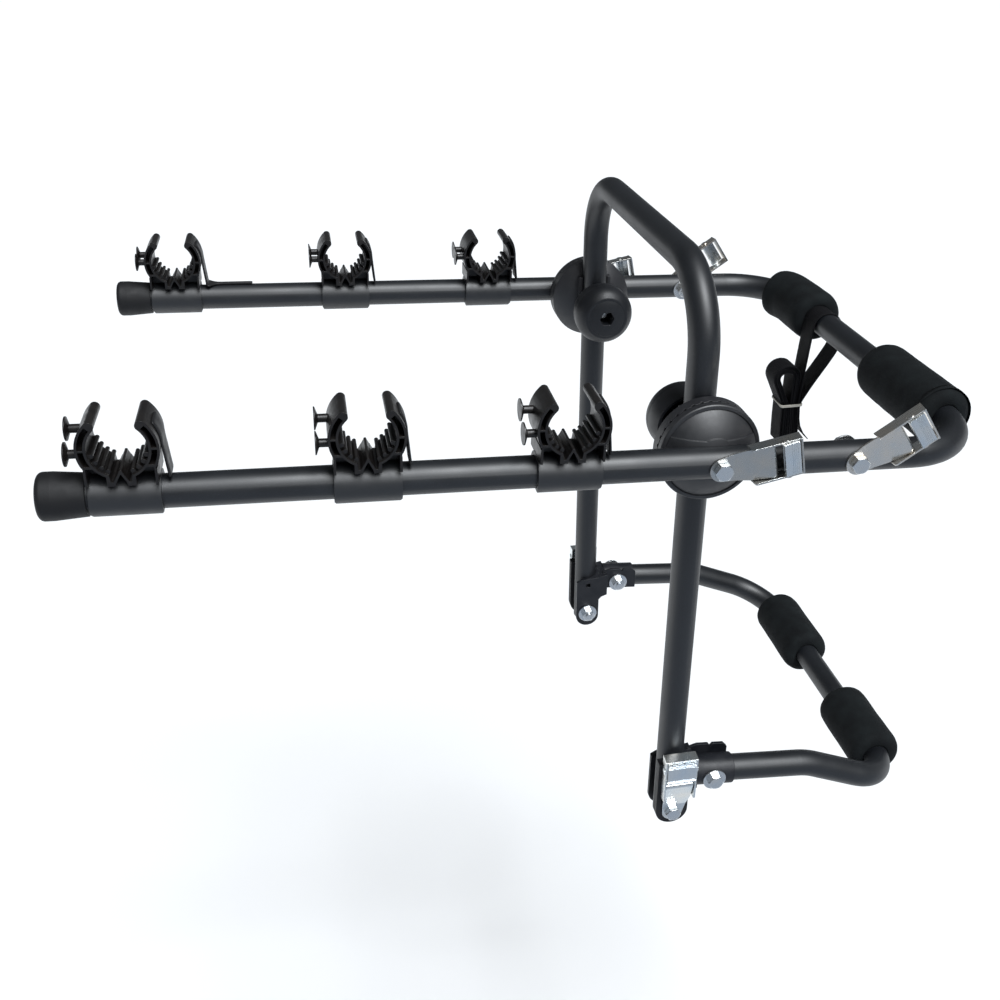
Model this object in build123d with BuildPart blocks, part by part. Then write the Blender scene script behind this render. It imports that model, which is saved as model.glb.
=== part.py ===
from build123d import *
from math import asin, atan2, cos, dist, radians, sin, tan
import os

os.makedirs("parts", exist_ok=True)

# Round tube shared by the three frames.
tube_od = 25.4
tube_wall = 1.5
tube_r = tube_od / 2
tube_bore = tube_r - tube_wall

# Frame layout. X points to the car, Y across it, Z up, with the hub axis on Y.
arm_y = 217.5
leg_y = 170.2
lower_y = 175.8
arm_tilt = 2.5
arm_reach = 496.0
far_short = 2.2
bar_reach = 226.0
arm_corner = 62.0
arch_rise = 132.3
arch_corner = 64.0
leg_foot = -408.0
lower_dip = 5.2
lower_axis_z = -355.6
lower_bend_x = 140.0
lower_bar_x = 242.0
lower_bar_z = -412.0
lower_corner = 52.0
lower_bend = 60.0

# Clearances.
run_fit = 0.05
body_gap = 0.3

# Fasteners, all M8.
bolt_r = 4.0
hole_r = bolt_r + run_fit
hex_across = 13.0
head_height = 5.3
nut_height = 6.5
washer_r = 11.2
washer_thick = 1.6

# Hub shells and knob, measured outward from the leg axis.
hub_r = 41.5
hub_seam = 24.5
outer_rim = 34.0
outer_crown = 46.0
outer_rise = 3.1
inner_rim = 14.5
inner_crown = 2.0
inner_rise = 4.6
lip_height = 1.2
knob_r = 30.0
knob_face = -57.0
boss_r = 12.0
saddle_face = -20.0

# Foot brackets.
foot_bolt_z = -396.0
plate_thick = 4.0
plate_half = 13.9
plate_drop = 4.5
plate_face = leg_y - tube_r - body_gap
spacer_face = leg_y + tube_r + 4.5
spacer_half = 15.8
socket_r = 15.0
socket_start = 24.0
socket_end = 60.0
socket_bolt_x = 39.0
flange_thick = 3.0
flange_stand = 1.5

# Foam pads.
pad_r = 27.0
pad_round = 6.0

# End caps.
cap_tip = 4.5
cap_cover = 29.0
cap_r = 17.6
cap_lip_r = 15.8

# Cradles, in the arm's own directions: along the arm and above its axis.
near_stations = (56.0 - arm_reach, -270.5, -120.0)
far_stations = (far_short + 55.5 - arm_reach, -264.0, -110.0)
cradle_width = 36.0
seat_height = 41.9
seat_r = 20.6
skin = 1.8
shell_r = 28.0
foot_height = 14.5
mouth_angle = 44.0
sleeve_r = 16.2
sleeve_half = 24.8
strap_width = 20.0
strap_thick = 2.4
peg_spread = 8.0
near_peg_rise = 6.0
far_peg_rise = 1.5
tail_length = 50.0

# Cam buckles, along the buckle from its bolt and outward from its seat.
buckle_half = 15.6
sheet = 1.5
tongue_r = 10.0
ramp_x = 9.0
roll_x = 37.7
roll_height = 4.9
roll_r = 4.0
roll_bar_r = 2.2
wall_start = 21.0
wall_height = 10.5
end_lean = 1.0
pin_r = 2.0
pin_height = 7.4
cam_r = 3.3
arm_buckle_reach = 62.5
arm_buckle_pin = 49.5
foot_buckle_reach = 72.5
foot_buckle_pin = 58.5
foot_buckle_side = 2.8
hub_buckle_angle = 13.2
foot_buckle_angle = 90.0
bar_buckle_angle = 36.0
bar_buckle_station = bar_reach - 114.0

# Webbing.
web_width = 25.0
web_thick = 1.4
web_y = 84.0

tilt = radians(arm_tilt)
dip = radians(lower_dip)
arm_dir = Vector(cos(tilt), 0, -sin(tilt))
arm_up = Vector(sin(tilt), 0, cos(tilt))


def arm_point(along, y, above=0):
    """Point in the tilted plane of the carrying arms."""
    return arm_dir * along + arm_up * above + Vector(0, y, 0)


def bent_line(points, radii):
    """Straight runs joined by arcs that touch both runs."""
    points = [Vector(p) for p in points]
    start = points[0]
    for before, corner, after, radius in zip(points, points[1:], points[2:], radii):
        back = (before - corner).normalized()
        ahead = (after - corner).normalized()
        half = radians(back.get_angle(ahead)) / 2
        reach = radius / tan(half)
        centre = corner + (back + ahead).normalized() * (radius / sin(half))
        middle = centre + (corner - centre).normalized() * radius
        Line(start, corner + back * reach)
        ThreePointArc(corner + back * reach, middle, corner + ahead * reach)
        start = corner + ahead * reach
    Line(start, points[-1])


def drill(origin, direction, radius, length):
    """Round hole through the part in hand, centred on origin."""
    with Locations(Plane(origin=origin, z_dir=direction)):
        Cylinder(radius, length, mode=Mode.SUBTRACT)


def closed_line(points):
    """Closed line through points, where a third value makes the way to its point an arc of that rise."""
    here = Vector(*points[-1][:2])
    for x, y, *rise in points:
        there = Vector(x, y)
        if rise:
            left = Vector(here.Y - there.Y, there.X - here.X).normalized()
            ThreePointArc(here, (here + there) / 2 + left * rise[0], there)
        else:
            Line(here, there)
        here = there


def hexagon(seat, across, bore=0):
    """Hexagon on the plane seat, with a round hole where a bore is given."""
    with BuildSketch(seat, mode=Mode.PRIVATE) as outline:
        RegularPolygon(radius=across / 2, side_count=6, major_radius=False)
        if bore:
            Circle(bore, mode=Mode.SUBTRACT)
    return outline.sketch


def hex_block(seat, height, bore=0):
    """Hexagon block standing on the plane seat, with its outer corners turned off."""
    block = extrude(hexagon(seat, hex_across, bore), amount=height, mode=Mode.PRIVATE)
    face_r = hex_across / 2 - 0.2
    root_r = face_r + height * tan(radians(60))
    turned = Cone(root_r, face_r, height, align=(Align.CENTER, Align.CENTER, Align.MIN), mode=Mode.PRIVATE)
    add(block & (seat * turned))


def hex_bolt(under_head, outward, grip):
    """Hexagon head standing outward from under_head, with a plain shank running inward."""
    seat = Plane(origin=under_head, x_dir=(1, 0, 0), z_dir=outward)
    hex_block(seat, head_height)
    with Locations(seat):
        Cylinder(bolt_r, grip, align=(Align.CENTER, Align.CENTER, Align.MAX))


def ring(face, outward, outer, inner, thick):
    """Plain washer standing outward from the plane face."""
    with Locations(Plane(origin=face, z_dir=outward)):
        Cylinder(outer, thick, align=(Align.CENTER, Align.CENTER, Align.MIN))
        Cylinder(inner, 3 * thick, mode=Mode.SUBTRACT)


def hex_nut(face, outward, bore):
    """Hexagon nut standing outward from the plane face."""
    hex_block(Plane(origin=face, x_dir=(1, 0, 0), z_dir=outward), nut_height, bore)


near = Vector(0, -1, 0)
far = Vector(0, 1, 0)


def hub_plane(outward_distance):
    """Plane across the near hub axis at a distance outward from the leg axis."""
    return Plane(origin=(0, -leg_y - outward_distance, 0), x_dir=(1, 0, 0), z_dir=(0, -1, 0))


def spun(profile):
    """Turn a closed outline of (radius, outward distance) points about the near hub axis."""
    section = Plane(origin=(0, -leg_y, 0), x_dir=(1, 0, 0), z_dir=(0, 0, -1))
    with BuildSketch(section, mode=Mode.PRIVATE) as half:
        with BuildLine():
            closed_line(profile)
        make_face()
    revolve(half.sketch, axis=Axis.Y)


def tube_cut(origin, direction, radius):
    """Take a tube's space out of the part in hand."""
    drill(origin, direction, radius, 4 * hub_r)


# Carrying frame: one tube bent into two arms and the upper crossbar.
with BuildPart() as arm_tube:
    with BuildLine() as arm_path:
        bent_line(
            [
                arm_point(-arm_reach, -arm_y),
                arm_point(bar_reach, -arm_y),
                arm_point(bar_reach, arm_y),
                arm_point(far_short - arm_reach, arm_y),
            ],
            [arm_corner, arm_corner],
        )
    with BuildSketch(Plane(origin=arm_path.line @ 0, z_dir=arm_dir)):
        Circle(tube_r)
        Circle(tube_bore, mode=Mode.SUBTRACT)
    sweep()
    for side in (near, far):
        for station in (0, bar_buckle_station):
            drill(arm_point(station, 0) + side * arm_y, side, hole_r, 2 * tube_od)

# Leg frame: one tube bent into two legs and the arch between them.
with BuildPart() as arch_tube:
    with BuildLine() as arch_path:
        bent_line(
            [
                (0, -leg_y, leg_foot),
                (0, -leg_y, arch_rise),
                (0, leg_y, arch_rise),
                (0, leg_y, leg_foot),
            ],
            [arch_corner, arch_corner],
        )
    with BuildSketch(Plane(origin=arch_path.line @ 0, z_dir=(0, 0, 1))):
        Circle(tube_r)
        Circle(tube_bore, mode=Mode.SUBTRACT)
    sweep()
    for side in (near, far):
        for height in (0, foot_bolt_z):
            drill(side * leg_y + Vector(0, 0, height), side, hole_r, 2 * tube_od)

# Lower frame: one tube, dipping, with a bend down before each corner.
lower_dir = Vector(cos(dip), 0, -sin(dip))


def lower_axis(x):
    """Height of the lower tube's axis on its first run."""
    return lower_axis_z - x * tan(dip)


tube_start = socket_start + 2
socket_bolt = Vector(socket_bolt_x, 0, lower_axis(socket_bolt_x))
with BuildPart() as lower_tube:
    with BuildLine() as lower_path:
        bent_line(
            [
                (tube_start, -lower_y, lower_axis(tube_start)),
                (lower_bend_x, -lower_y, lower_axis(lower_bend_x)),
                (lower_bar_x, -lower_y, lower_bar_z),
                (lower_bar_x, lower_y, lower_bar_z),
                (lower_bend_x, lower_y, lower_axis(lower_bend_x)),
                (tube_start, lower_y, lower_axis(tube_start)),
            ],
            [lower_bend, lower_corner, lower_corner, lower_bend],
        )
    with BuildSketch(Plane(origin=lower_path.line @ 0, z_dir=lower_dir)):
        Circle(tube_r)
        Circle(tube_bore, mode=Mode.SUBTRACT)
    sweep()
    for side in (near, far):
        drill(socket_bolt + side * lower_y, side, hole_r, 2 * tube_od)

# Inner hub shell: a dome round the leg tube, its notched rim at the seam.
notch_count = 36
notch_deep = 2.0
with BuildPart() as hub_inner_near:
    spun(
        [
            (hole_r, inner_crown),
            (hub_r, inner_rim, -inner_rise),
            (hub_r, hub_seam),
            (hole_r, hub_seam),
        ]
    )
    with BuildSketch(hub_plane(-2)):
        with Locations((-tube_r - 2.5, 0), (tube_r + 2.5, 0)):
            Rectangle(3.4, 56)
    extrude(amount=8)
    tube_cut((0, -leg_y, 0), (0, 0, 1), tube_r)
    with BuildSketch(hub_plane(hub_seam)):
        with PolarLocations(hub_r, notch_count):
            Rectangle(2 * notch_deep, 2.4)
    extrude(amount=-1.6, mode=Mode.SUBTRACT)
hub_inner_near.part.label = "hub_inner_near"
export_step(hub_inner_near.part, "parts/hub_inner_near.step")

with BuildPart() as hub_inner_far:
    mirror(hub_inner_near.part, about=Plane.XZ)
hub_inner_far.part.label = "hub_inner_far"
export_step(hub_inner_far.part, "parts/hub_inner_far.step")

# Outer hub shell: a dome with a channel and lips along the carrying arm.
outer_face = hub_seam + body_gap
dome_edge = (hub_r - 3.7, outer_rim - 2.8)
with BuildPart() as hub_outer_near:
    spun(
        [
            (hole_r, outer_face),
            (hub_r - 0.8, outer_face),
            (hub_r, outer_face + 0.8),
            (hub_r, outer_rim - 3),
            (hub_r - 0.8, outer_rim - 2.2),
            (hub_r - 3.4, outer_rim - 1.8),
            dome_edge,
            (hole_r, outer_crown, -outer_rise),
        ]
    )
    with BuildPart(mode=Mode.PRIVATE) as lips:
        spun(
            [
                (hole_r, outer_face),
                (dome_edge[0], outer_face),
                (dome_edge[0], dome_edge[1] + lip_height),
                (hole_r, outer_crown + lip_height, -outer_rise),
            ]
        )
        with BuildSketch(Plane(origin=hub_plane(outer_face).origin, x_dir=arm_dir, z_dir=(0, -1, 0))):
            Rectangle(2 * hub_r, 2 * (tube_r + 3.5))
            Circle(tube_r + 5.5)
        extrude(amount=outer_crown, mode=Mode.INTERSECT)
    add(lips.part)
    tube_cut((0, -arm_y, 0), arm_dir, tube_r)
hub_outer_near.part.label = "hub_outer_near"
export_step(hub_outer_near.part, "parts/hub_outer_near.step")

with BuildPart() as hub_outer_far:
    mirror(hub_outer_near.part, about=Plane.XZ)
hub_outer_far.part.label = "hub_outer_far"
export_step(hub_outer_far.part, "parts/hub_outer_far.step")

# Saddle between the leg tube and the clamping knob.
with BuildPart() as saddle_near:
    spun([(hole_r, saddle_face), (17, saddle_face), (17, -5), (hole_r, -5)])
    tube_cut((0, -leg_y, 0), (0, 0, 1), tube_r + body_gap)
saddle_near.part.label = "saddle_near"
export_step(saddle_near.part, "parts/saddle_near.step")

with BuildPart() as saddle_far:
    mirror(saddle_near.part, about=Plane.XZ)
saddle_far.part.label = "saddle_far"
export_step(saddle_far.part, "parts/saddle_far.step")

# Clamping knob: a hollow cap with a hexagon pocket that holds its nut.
pocket_across = hex_across + 0.4
nut_seat = knob_face + 24
boss_face = saddle_face - body_gap
hollow_face = knob_face + 13
with BuildPart() as knob_near:
    spun(
        [
            (hole_r, boss_face),
            (boss_r, boss_face),
            (boss_r, hollow_face),
            (knob_r - 9, hollow_face - 2),
            (knob_r - 3.5, knob_face + 21, -2),
            (knob_r - 5.5, boss_face),
            (knob_r - 3.2, boss_face),
            (knob_r, knob_face + 19, 1),
            (knob_r - 7, knob_face + 2.8, 2.5),
            (knob_r - 11, knob_face + 2, 0.7),
            (hole_r, knob_face, 0.6),
        ]
    )
    with BuildSketch(hub_plane(hollow_face - 2)):
        with PolarLocations((boss_r + knob_r - 6) / 2, 8):
            Rectangle(knob_r - 5.6 - boss_r, 1.6)
    extrude(amount=14)
    pocket = hexagon(hub_plane(knob_face - 1), pocket_across)
    extrude(pocket, amount=nut_seat - knob_face + 1, mode=Mode.SUBTRACT)
knob_near.part.label = "knob_near"
export_step(knob_near.part, "parts/knob_near.step")

with BuildPart() as knob_far:
    mirror(knob_near.part, about=Plane.XZ)
knob_far.part.label = "knob_far"
export_step(knob_far.part, "parts/knob_far.step")

with BuildPart() as knob_nut_near:
    hex_nut(near * (leg_y + nut_seat), far, hole_r)
knob_nut_near.part.label = "knob_nut_near"
export_step(knob_nut_near.part, "parts/knob_nut_near.step")

with BuildPart() as knob_nut_far:
    mirror(knob_nut_near.part, about=Plane.XZ)
knob_nut_far.part.label = "knob_nut_far"
export_step(knob_nut_far.part, "parts/knob_nut_far.step")

arm_tube.part.label = "arm_tube"
export_step(arm_tube.part, "parts/arm_tube.step")
arch_tube.part.label = "arch_tube"
export_step(arch_tube.part, "parts/arch_tube.step")
lower_tube.part.label = "lower_tube"
export_step(lower_tube.part, "parts/lower_tube.step")

# Bolts through the hubs, from outside the arm to the nut in the knob.
arm_buckle_face = arm_y + tube_r + body_gap
arm_head_face = arm_buckle_face + sheet + body_gap
shank_over = 2.0
with BuildPart() as hub_bolts:
    for side in (near, far):
        hex_bolt(side * arm_head_face, side, arm_head_face - leg_y - nut_seat + nut_height + shank_over)
hub_bolts.part.label = "hub_bolts"
export_step(hub_bolts.part, "parts/hub_bolts.step")

# Bolts through the arms near the crossbar, with washers and nuts inside.
arm_inside = arm_y - tube_r
bar_bolt = arm_point(bar_buckle_station, 0)
bar_grip = arm_head_face - arm_inside + washer_thick + nut_height + shank_over
with BuildPart() as bar_bolts:
    for side in (near, far):
        hex_bolt(bar_bolt + side * arm_head_face, side, bar_grip)
bar_bolts.part.label = "bar_bolts"
export_step(bar_bolts.part, "parts/bar_bolts.step")

with BuildPart() as bar_washers:
    for side in (near, far):
        ring(bar_bolt + side * arm_inside, -side, washer_r, hole_r, washer_thick)
bar_washers.part.label = "bar_washers"
export_step(bar_washers.part, "parts/bar_washers.step")

with BuildPart() as bar_nuts:
    for side in (near, far):
        hex_nut(bar_bolt + side * (arm_inside - washer_thick), -side, hole_r)
bar_nuts.part.label = "bar_nuts"
export_step(bar_nuts.part, "parts/bar_nuts.step")

# Bolts through the leg feet, which the lower frame folds about.
foot_bolt = Vector(0, 0, foot_bolt_z)
foot_buckle_face = spacer_face + body_gap
foot_head_face = foot_buckle_face + sheet + body_gap
plate_inside = plate_face - plate_thick
foot_washer_face = plate_inside - body_gap
foot_grip = foot_head_face - foot_washer_face + washer_thick + nut_height + shank_over
with BuildPart() as foot_bolts:
    for side in (near, far):
        hex_bolt(foot_bolt + side * foot_head_face, side, foot_grip)
foot_bolts.part.label = "foot_bolts"
export_step(foot_bolts.part, "parts/foot_bolts.step")

with BuildPart() as foot_washers:
    for side in (near, far):
        ring(foot_bolt + side * foot_washer_face, -side, washer_r, hole_r, washer_thick)
foot_washers.part.label = "foot_washers"
export_step(foot_washers.part, "parts/foot_washers.step")

with BuildPart() as foot_nuts:
    for side in (near, far):
        hex_nut(foot_bolt + side * (foot_washer_face - washer_thick), -side, hole_r)
foot_nuts.part.label = "foot_nuts"
export_step(foot_nuts.part, "parts/foot_nuts.step")

# Bolts across the bracket sockets, with a wide washer at each end.
socket_out = lower_y + socket_r
socket_in = lower_y - socket_r - flange_stand
socket_grip = socket_out - socket_in + 2 * washer_thick + nut_height + shank_over
with BuildPart() as socket_bolts:
    for side in (near, far):
        hex_bolt(socket_bolt + side * (socket_out + washer_thick), side, socket_grip)
socket_bolts.part.label = "socket_bolts"
export_step(socket_bolts.part, "parts/socket_bolts.step")

with BuildPart() as socket_washers:
    for side in (near, far):
        ring(socket_bolt + side * socket_out, side, washer_r, hole_r, washer_thick)
        ring(socket_bolt + side * socket_in, -side, washer_r, hole_r, washer_thick)
socket_washers.part.label = "socket_washers"
export_step(socket_washers.part, "parts/socket_washers.step")

with BuildPart() as socket_nuts:
    for side in (near, far):
        hex_nut(socket_bolt + side * (socket_in - washer_thick), -side, hole_r)
socket_nuts.part.label = "socket_nuts"
export_step(socket_nuts.part, "parts/socket_nuts.step")

# Spacer that gives the foot buckle a flat seat on the round leg.
with BuildPart() as foot_spacer_near:
    with BuildSketch(Plane(origin=(0, -spacer_face, 0), x_dir=(1, 0, 0), z_dir=(0, -1, 0))):
        with Locations((0, foot_bolt_z)):
            Circle(spacer_half)
            Rectangle(2 * spacer_half, 60, align=(Align.CENTER, Align.MIN))
            Circle(hole_r, mode=Mode.SUBTRACT)
    extrude(amount=-9)
    tube_cut((0, -leg_y, foot_bolt_z), (0, 0, 1), tube_r)
foot_spacer_near.part.label = "foot_spacer_near"
export_step(foot_spacer_near.part, "parts/foot_spacer_near.step")

with BuildPart() as foot_spacer_far:
    mirror(foot_spacer_near.part, about=Plane.XZ)
foot_spacer_far.part.label = "foot_spacer_far"
export_step(foot_spacer_far.part, "parts/foot_spacer_far.step")


# Foot bracket: a plate on the leg's inner face, a root beside the leg, and a socket with a flange.
def foot_point(x, height):
    """Point beside the near foot bolt and above it."""
    return (x, foot_bolt_z + height)


def bracket_layer(outline, start, thick):
    """Flat layer of the near bracket, from start outward."""
    face = Plane(origin=(0, -start, 0), x_dir=(1, 0, 0), z_dir=(0, -1, 0))
    with BuildSketch(face, mode=Mode.PRIVATE) as flat:
        with BuildLine():
            Polyline(outline, close=True)
        make_face()
    extrude(flat.sketch, amount=thick)


def socket_point(x, offset):
    """Point at a distance above the near socket's axis."""
    return (x, lower_axis(x) + offset)


root_top = foot_point(19, 51.5)
root_low = foot_point(17, 21.5)
root_end = [socket_point(socket_start, socket_r - 1), socket_point(socket_start, 1 - socket_r)]
root_x = spacer_half + body_gap
flange_top = socket_r + 3.6
flange_end = socket_end + 1
flange_notch = socket_bolt_x + 4.8
with BuildPart() as bracket_near:
    bracket_layer(
        [
            foot_point(-plate_half, -plate_drop),
            foot_point(-plate_half, 44.5),
            foot_point(-8, 48),
            foot_point(13, 50),
            root_top,
            *root_end,
            root_low,
            foot_point(plate_half, 18),
            foot_point(plate_half, -plate_drop),
        ],
        plate_inside,
        plate_thick,
    )
    with Locations(Plane(origin=(0, -plate_inside, foot_bolt_z - plate_drop), z_dir=(0, -1, 0))):
        Cylinder(plate_half, plate_thick, align=(Align.CENTER, Align.CENTER, Align.MIN))
    bracket_layer(
        [foot_point(4, 49), foot_point(13, 50), root_top, *root_end, root_low, foot_point(4, 21.5)],
        plate_face,
        leg_y + tube_r / 2 - plate_face,
    )
    tube_cut((0, -leg_y, foot_bolt_z), (0, 0, 1), tube_r + body_gap)
    bracket_layer(
        [foot_point(root_x, 50.5), root_top, *root_end, root_low, foot_point(root_x, 21.5)],
        plate_face,
        spacer_face - plate_face - 0.6,
    )
    bracket_layer(
        [
            socket_point(socket_start - 4, -8),
            socket_point(socket_start - 4, flange_top - 4),
            socket_point(socket_start + 6, flange_top),
            socket_point(flange_notch - 2.2, flange_top),
            socket_point(flange_notch, flange_top - 3),
            socket_point(flange_notch + 2.2, flange_top),
            socket_point(flange_end - 4, flange_top),
            socket_point(flange_end, flange_top - 4),
            socket_point(flange_end, -8),
        ],
        socket_in,
        flange_thick,
    )
    socket_root = socket_start - 2
    with Locations(Plane(origin=(socket_root, -lower_y, lower_axis(socket_root)), z_dir=lower_dir)):
        Cylinder(socket_r, socket_end - socket_root, align=(Align.CENTER, Align.CENTER, Align.MIN))
    with Locations(Plane(origin=(tube_start, -lower_y, lower_axis(tube_start)), z_dir=lower_dir)):
        Cylinder(tube_r, 2 * socket_end, align=(Align.CENTER, Align.CENTER, Align.MIN), mode=Mode.SUBTRACT)
    drill(foot_bolt + near * plate_face, near, hole_r, 20)
    drill(socket_bolt + near * lower_y, near, hole_r, 60)
    with Locations((0, -plate_face, foot_bolt_z + 40)):
        Box(5.5, 20, 5.5, mode=Mode.SUBTRACT)
bracket_near.part.label = "bracket_near"
export_step(bracket_near.part, "parts/bracket_near.step")

with BuildPart() as bracket_far:
    mirror(bracket_near.part, about=Plane.XZ)
bracket_far.part.label = "bracket_far"
export_step(bracket_far.part, "parts/bracket_far.step")


# Foam pads: sleeves on the crossbars that run a little into the bends.
def pad_path(bar, back, turn, corner, side, start, bend):
    """Line along a crossbar from start to its turn, then an arc of bend degrees."""

    def round_corner(degrees):
        angle = radians(degrees)
        return bar + back * corner * (1 - cos(angle)) + side * (turn + corner * sin(angle))

    Line(bar + side * start, bar + side * turn)
    ThreePointArc(round_corner(0), round_corner(bend / 2), round_corner(bend))


def foam_pad(path, heading):
    """Foam sleeve along a path, with its outer end edges rounded."""
    with BuildSketch(Plane(origin=path.line @ 0, z_dir=heading), mode=Mode.PRIVATE) as ends:
        Circle(pad_r)
        Circle(tube_r, mode=Mode.SUBTRACT)
    sweep(ends.sketch, path=path.line)


upper_bar = arm_point(bar_reach, 0)
lower_bar = Vector(lower_bar_x, 0, lower_bar_z)
lower_back = (Vector(lower_bend_x, 0, lower_axis(lower_bend_x)) - lower_bar).normalized()
upper_turn = arm_y - arm_corner
lower_turn = lower_y - lower_corner
pads = {
    "upper_pad_near": (upper_bar, -arm_dir, upper_turn, arm_corner, near, 42, 5),
    "upper_pad_far": (upper_bar, -arm_dir, upper_turn, arm_corner, far, 98, 32),
    "lower_pad_near": (lower_bar, lower_back, lower_turn, lower_corner, near, 48, 16),
    "lower_pad_far": (lower_bar, lower_back, lower_turn, lower_corner, far, 42, 16),
}
for name, (bar, back, turn, corner, side, start, bend) in pads.items():
    with BuildPart() as pad:
        with BuildLine() as pad_line:
            pad_path(bar, back, turn, corner, side, start, bend)
        foam_pad(pad_line, side)
        flats = pad.faces().filter_by(GeomType.PLANE)
        rims = [edge for face in flats for edge in face.edges() if edge.radius > pad_r - 1]
        fillet(rims, pad_round)
    pad.part.label = name
    export_step(pad.part, f"parts/{name}.step")

# End caps pushed over the arm ends.
for name, side, end in (("near", near, -arm_reach), ("far", far, far_short - arm_reach)):
    tip = end - cap_tip
    cap_open = end + cap_cover
    with BuildPart() as arm_cap:
        with BuildSketch(Plane(origin=side * arm_y, x_dir=arm_dir, z_dir=(0, -1, 0))):
            with BuildLine():
                closed_line(
                    [
                        (tip, 0),
                        (tip, cap_r - 4),
                        (tip + 4.4, cap_r, 1.2),
                        (tip + 11, cap_r),
                        (cap_open, cap_lip_r),
                        (cap_open, tube_r),
                        (end, tube_r),
                        (end, 0),
                    ]
                )
            make_face()
        revolve(axis=Axis(side * arm_y, arm_dir))
    arm_cap.part.label = f"arm_cap_{name}"
    export_step(arm_cap.part, f"parts/arm_cap_{name}.step")

# Cradle for a bicycle's top tube, drawn along the arm and above its axis.
tip_r = (shell_r - seat_r) / 2
tip_ring = (shell_r + seat_r) / 2
leg_half = 24.6
crotch = 29.2


def seat_point(angle, radius):
    """Point round the seat, with its angle from the arm direction."""
    return (radius * cos(radians(angle)), seat_height + radius * sin(radians(angle)))


def cradle_body(plane):
    """Whole side view of a cradle, without its pockets."""
    with BuildSketch(plane, mode=Mode.PRIVATE) as body:
        with Locations((0, seat_height)):
            Circle(shell_r)
        with Locations((leg_half + 10, foot_height), (-leg_half - 10, foot_height)):
            Rectangle(20, crotch - foot_height, align=(Align.CENTER, Align.MIN), mode=Mode.SUBTRACT)
        with Locations((0, foot_height)):
            Rectangle(2 * leg_half, 12, align=(Align.CENTER, Align.MIN))
        with Locations((0, seat_height)):
            Circle(seat_r, mode=Mode.SUBTRACT)
        with BuildLine():
            Polyline(
                (0, seat_height),
                seat_point(90 - mouth_angle, 60),
                (0, 110),
                seat_point(90 + mouth_angle, 60),
                close=True,
            )
        make_face(mode=Mode.SUBTRACT)
        with Locations(seat_point(90 - mouth_angle, tip_ring), seat_point(90 + mouth_angle, tip_ring)):
            Circle(tip_r)
        for side in (-1, 1):
            with BuildLine():
                Polyline((side * 8, 25), (side * 7, 17.6), (side * 5.4, 17.6), (0, 27.5), close=True)
            make_face(mode=Mode.SUBTRACT)
        with BuildLine():
            Polyline((-5.4, 17.2), (-0.9, 25.6), (0.9, 25.6), (5.4, 17.2), close=True)
        make_face()
        with Locations((0, 25.2)):
            Circle(1.2)
    return body.sketch


def cradle_pockets(plane):
    """Pockets that leave only the cradle's skins and webs standing."""
    with BuildSketch(plane, mode=Mode.PRIVATE) as pockets:
        with Locations((0, seat_height)):
            Circle(shell_r - skin)
            Circle(seat_r + skin, mode=Mode.SUBTRACT)
        with Locations((0, crotch + skin / 2)):
            Rectangle(80, 60, align=(Align.CENTER, Align.MAX), mode=Mode.SUBTRACT)
        with BuildLine():
            Polyline(
                (0, seat_height),
                seat_point(86 - mouth_angle, 60),
                (0, 110),
                seat_point(94 + mouth_angle, 60),
                close=True,
            )
        make_face(mode=Mode.SUBTRACT)
        with Locations((0, seat_height)):
            Rectangle(80, 1.4, mode=Mode.SUBTRACT)
        pocket_high = crotch - skin / 2 - foot_height + 1
        with Locations((0, foot_height - 1)):
            Rectangle(2 * (leg_half - skin), pocket_high, align=(Align.CENTER, Align.MIN))
        with Locations((0, seat_height)):
            Circle(seat_r + skin, mode=Mode.SUBTRACT)
        with Locations((0, foot_height - 1)):
            Rectangle(19.6, 16, align=(Align.CENTER, Align.MIN), mode=Mode.SUBTRACT)
        with BuildLine():
            fork = [(4.2, foot_height - 1), (3.6, 17), (0.3, 23.2)]
            Polyline([*fork, *[(-x, y) for x, y in reversed(fork)]], close=True)
        make_face()
    return pockets.sketch


def cradle_ribs(plane):
    """Rounded bars that grip the bicycle's tube, between skin and seat centre."""
    with BuildSketch(plane, mode=Mode.PRIVATE) as ribs:
        for angle in (195, 212, 229, 244, 296, 311, 328, 345):
            with Locations(seat_point(angle, seat_r - 2)):
                Circle(1.6)
            with Locations(Location((*seat_point(angle, seat_r - 0.6), 0), angle)):
                Rectangle(2.8, 3.2)
    return ribs.sketch


def cradle(centre, peg_rise):
    """Cradle standing on the arm at centre, with a low peg and a higher one behind it on its outer wall."""
    plane = Plane(origin=centre, x_dir=arm_dir, z_dir=(0, -1, 0))
    extrude(cradle_body(plane), amount=cradle_width / 2, both=True)
    extrude(cradle_pockets(plane), amount=cradle_width / 2, both=True, mode=Mode.SUBTRACT)
    extrude(cradle_body(plane), amount=0.9, both=True)
    extrude(cradle_ribs(plane), amount=cradle_width / 2 - 2, both=True)
    for forward in (1, -1):
        height = seat_height - forward * peg_rise
        root = plane.from_local_coords((-shell_r + 2.2, height, forward * peg_spread))
        with Locations(Plane(origin=root, z_dir=-arm_dir)):
            Cylinder(3.2, 9, align=(Align.CENTER, Align.CENTER, Align.MIN))
            with Locations((0, 0, 8)):
                Cone(3.2, 8.6, 2, align=(Align.CENTER, Align.CENTER, Align.MIN))
            with Locations((0, 0, 10)):
                Cylinder(8.6, 1, align=(Align.CENTER, Align.CENTER, Align.MIN))
    drill(centre, arm_dir, sleeve_r, 120)


cradle_rows = (("near", near, near_stations, near_peg_rise), ("far", far, far_stations, far_peg_rise))
for name, side, stations, peg_rise in cradle_rows:
    for number, station in enumerate(stations):
        with BuildPart() as cradle_part:
            cradle(arm_point(station, 0) + side * arm_y, peg_rise)
        cradle_part.part.label = f"cradle_{name}_{number + 1}"
        export_step(cradle_part.part, f"parts/cradle_{name}_{number + 1}.step")


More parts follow.
